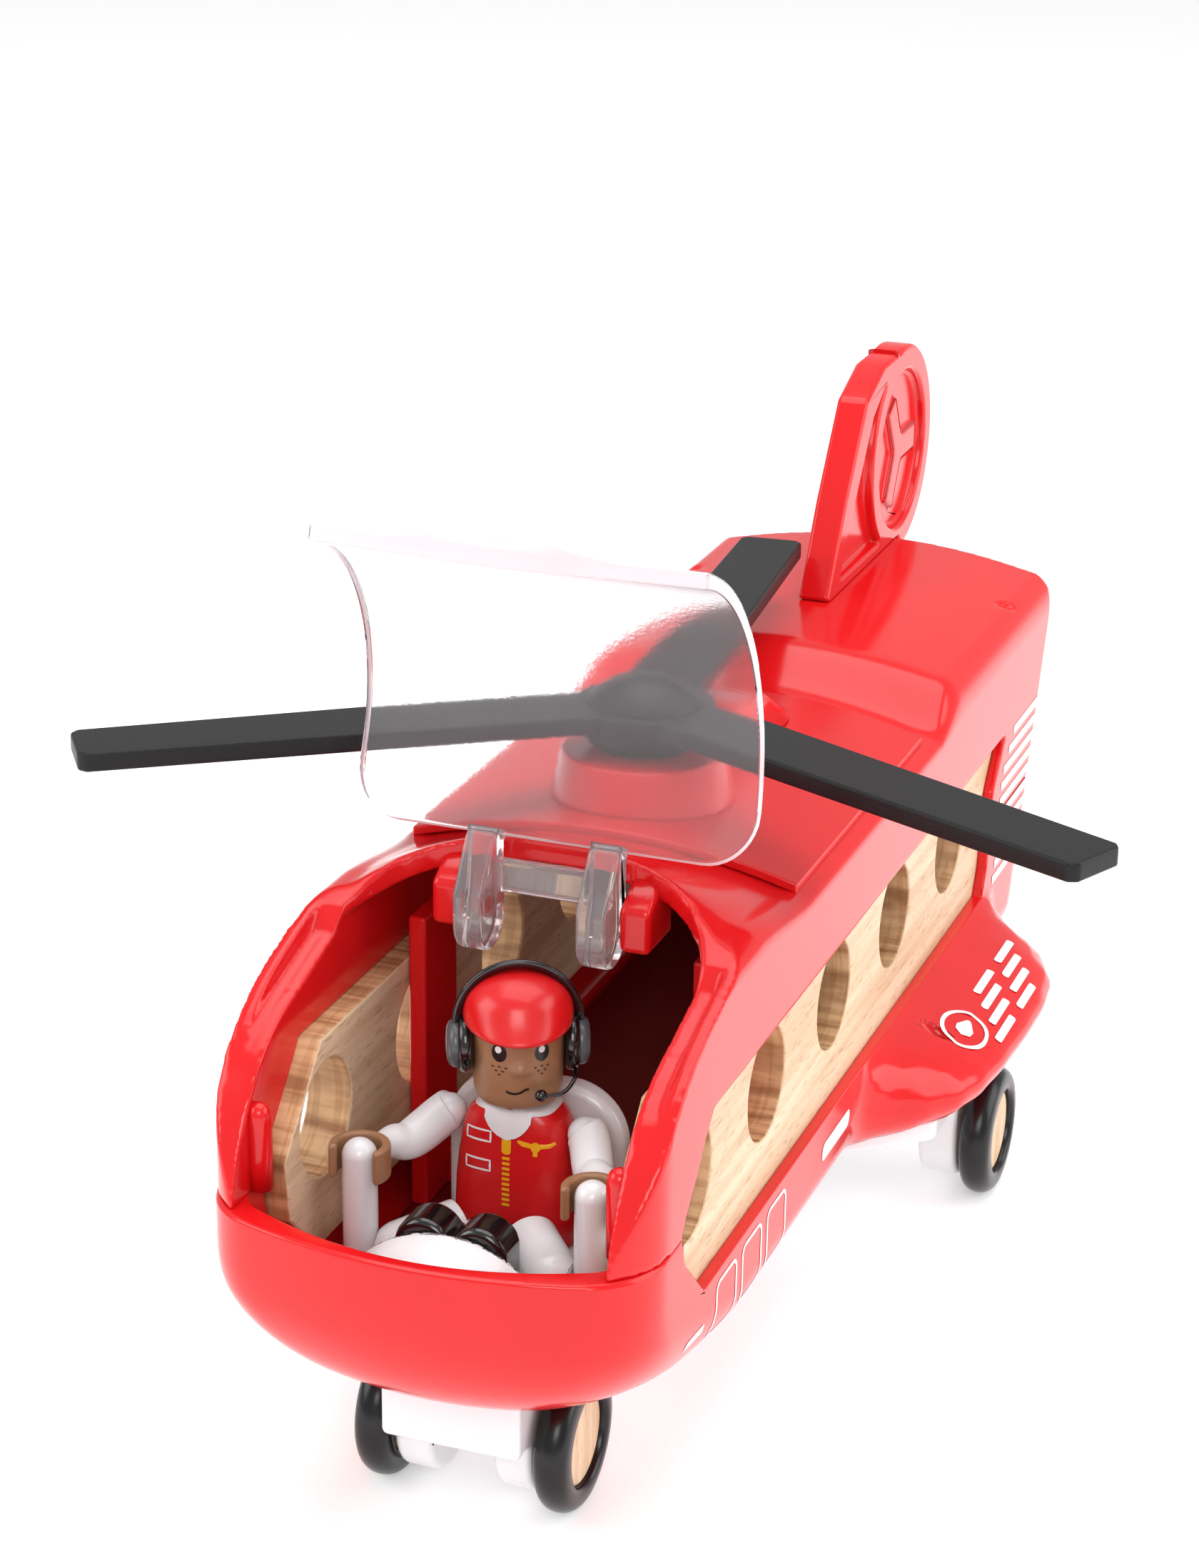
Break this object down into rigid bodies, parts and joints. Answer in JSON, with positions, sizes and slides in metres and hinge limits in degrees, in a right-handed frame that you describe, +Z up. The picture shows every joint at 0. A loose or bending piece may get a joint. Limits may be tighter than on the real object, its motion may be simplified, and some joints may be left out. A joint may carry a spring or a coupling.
{
  "type": "toy helicopter",
  "caption": "Toy transport helicopter with a moulded fuselage, wooden side walls with portholes, spinning rotor, lifting canopy, seated pilot, rear ramp and rolling wheels.",
  "frame": {"origin": "on the ground, in the symmetry plane, straight under the rotor shaft", "axes": "-Y to the nose, +Y to the tail, +Z up, +X to the pilot's left"},
  "size_m": [0.1633, 0.2613, 0.152],
  "materials": {
    "red_moulding": "gloss",
    "red_roof_plate": "gloss",
    "beech": "sanded, unvarnished",
    "white_moulding": "gloss",
    "black_tyre": "satin",
    "black_rotor": "satin",
    "frosted_clear": "frosted",
    "clear": "polished",
    "steel": "turned",
    "cabin_red": "satin",
    "black_console": "gloss",
    "skin": "satin",
    "cap_red": "satin",
    "headset_black": "satin",
    "shirt": "satin",
    "vest": "satin",
    "trousers": "satin"
  },
  "bodies": {
    "airframe": {"lower_hull": "red_moulding", "upper_shell": "red_moulding", "roof_deck": "red_roof_plate", "rotor_mast": "red_moulding", "engine_cowl": "red_moulding", "tail_fin": "red_moulding", "wood_wall_left": "beech", "wood_wall_right": "beech", "ramp_pin": "steel", "cabin_floor": "cabin_red", "cabin_frame": "cabin_red", "chassis": "white_moulding", "chassis_screws": "steel", "seat": "white_moulding", "control_sticks": "white_moulding", "instrument_console": "black_console", "nose_fairing": "white_moulding", "pilot_torso": "vest", "pilot_legs": "trousers"},
    "front_wheels": {"front_axle": "steel", "wheel_disc_front_left": "beech", "wheel_disc_front_right": "beech", "tyre_front_left": "black_tyre", "tyre_front_right": "black_tyre"},
    "rear_wheels": {"rear_axle": "steel", "wheel_disc_rear_left": "beech", "wheel_disc_rear_right": "beech", "tyre_rear_left": "black_tyre", "tyre_rear_right": "black_tyre"},
    "rotor": {"rotor_blades": "black_rotor", "rotor_cap": "black_rotor", "rotor_shaft": "steel", "shaft_clip": "black_rotor"},
    "canopy": {"canopy_screen": "frosted_clear", "canopy_hinge_arms": "clear"},
    "ramp": {"rear_ramp": "red_moulding"},
    "pilot_head_group": {"pilot_head": "skin", "pilot_cap": "cap_red", "pilot_headset": "headset_black"},
    "pilot_left_arm": {"pilot_arm_left": "shirt"},
    "pilot_right_arm": {"pilot_arm_right": "shirt"}
  },
  "joints": [
    {"name": "rotor_spin", "type": "hinge", "parent": "airframe", "child": "rotor", "pos_m": [0, 0, 0.1], "axis": [0, 0, 1], "range_deg": [-15, 5]},
    {"name": "canopy_hinge", "type": "hinge", "parent": "airframe", "child": "canopy", "pos_m": [0, -0.0441, 0.086], "axis": [1, 0, 0], "range_deg": [0, 98.5]},
    {"name": "front_wheel_spin", "type": "hinge", "parent": "airframe", "child": "front_wheels", "pos_m": [0, -0.06895, 0.0116], "axis": [1, 0, 0], "continuous": true},
    {"name": "rear_wheel_spin", "type": "hinge", "parent": "airframe", "child": "rear_wheels", "pos_m": [0, 0.0559, 0.0116], "axis": [1, 0, 0], "continuous": true},
    {"name": "ramp_hinge", "type": "hinge", "parent": "airframe", "child": "ramp", "pos_m": [0, 0.11517, 0.03251], "axis": [1, 0, 0], "range_deg": [-95, 0]},
    {"name": "pilot_head_turn", "type": "hinge", "parent": "airframe", "child": "pilot_head_group", "pos_m": [0, -0.0551, 0.06], "axis": [0, 0, 1], "range_deg": [-85, 35]},
    {"name": "pilot_left_shoulder", "type": "hinge", "parent": "airframe", "child": "pilot_left_arm", "pos_m": [0.0118, -0.0551, 0.0556], "axis": [1, 0, 0], "range_deg": [-60, 0]},
    {"name": "pilot_right_shoulder", "type": "hinge", "parent": "airframe", "child": "pilot_right_arm", "pos_m": [-0.0118, -0.0551, 0.0556], "axis": [1, 0, 0], "range_deg": [-60, 0]}
  ]
}
